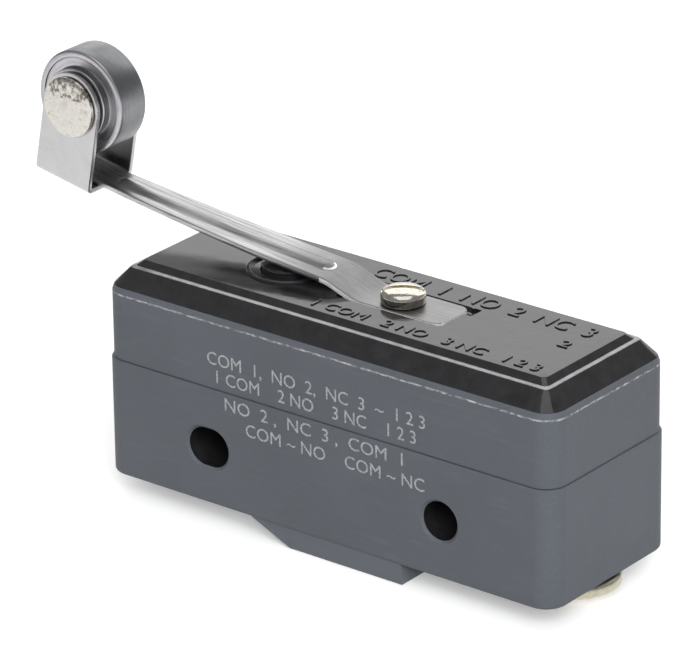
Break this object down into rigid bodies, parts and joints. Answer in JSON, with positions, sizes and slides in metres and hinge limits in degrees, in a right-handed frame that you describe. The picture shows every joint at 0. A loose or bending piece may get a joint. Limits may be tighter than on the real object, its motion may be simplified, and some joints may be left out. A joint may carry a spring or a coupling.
{
  "type": "roller lever limit switch",
  "caption": "Snap-action limit switch: a moulded block body with cross mounting holes, screw terminals underneath, and a long sprung lever whose roller presses a plunger.",
  "frame": {"origin": "on the rear mounting face, midway between the mounting holes' centres", "axes": "+X along the body away from the roller, +Y out of the rear mounting face, +Z from the terminals up to the lever"},
  "size_m": [0.0618, 0.0174, 0.038],
  "materials": {
    "ground_phenolic": "moulded phenolic, ground matt on the sides",
    "cover_phenolic": "moulded phenolic, glossy on top, ground matt on the sides",
    "plunger_plastic": "smooth moulded",
    "lever_steel": "rolled strip, drawn lines along its length",
    "screw_nickel": "nickel plated",
    "pin_steel": "riveted head, slightly mottled",
    "roller_steel": "turned, satin grey",
    "blade_copper": "rolled spring alloy",
    "terminal_brass": "turned and formed brass",
    "contact_silver": "silver contact face",
    "washer_plating": "pale yellow plated"
  },
  "bodies": {
    "base": {"case": "ground_phenolic", "cover": "cover_phenolic", "lever_tail": "lever_steel", "lever_screw": "screw_nickel", "lever_screw_insert": "terminal_brass", "com_terminal": "terminal_brass", "no_terminal": "terminal_brass", "nc_terminal": "terminal_brass", "no_contact": "contact_silver", "nc_contact": "contact_silver", "blade_rivet": "screw_nickel", "com_terminal_screw": "screw_nickel", "no_terminal_screw": "screw_nickel", "nc_terminal_screw": "screw_nickel", "com_terminal_washer": "washer_plating", "no_terminal_washer": "washer_plating", "nc_terminal_washer": "washer_plating"},
    "lever": {"lever_arm": "lever_steel", "roller_bracket": "lever_steel", "roller_pin": "pin_steel"},
    "roller": {"roller": "roller_steel"},
    "plunger": {"plunger": "plunger_plastic"},
    "blade": {"snap_blade": "blade_copper", "moving_contact": "contact_silver"}
  },
  "joints": [
    {"name": "lever_flex", "type": "hinge", "parent": "base", "child": "lever", "pos_m": [-0.0022, -0.00873, 0.01488], "axis": [0, -1, 0], "range_deg": [0, 6], "stiffness_Nm_per_rad": 0.3, "springref_deg": -4.58},
    {"name": "roller_spin", "type": "hinge", "parent": "lever", "child": "roller", "pos_m": [-0.03225, -0.00873, 0.02585], "axis": [0, -1, 0], "continuous": true},
    {"name": "plunger_slide", "type": "slide", "parent": "base", "child": "plunger", "axis": [0, 0, -1], "range_m": [0, 0.0009]},
    {"name": "blade_snap", "type": "hinge", "parent": "base", "child": "blade", "pos_m": [-0.0209, -0.00873, 0.00805], "axis": [0, 1, 0], "range_deg": [0, 2.85]}
  ],
  "couplings": [
    {"joint": "plunger_slide", "follows": "lever_flex", "m_per_rad": 0.00815},
    {"joint": "blade_snap", "follows": "lever_flex", "ratio": 0.46667}
  ]
}
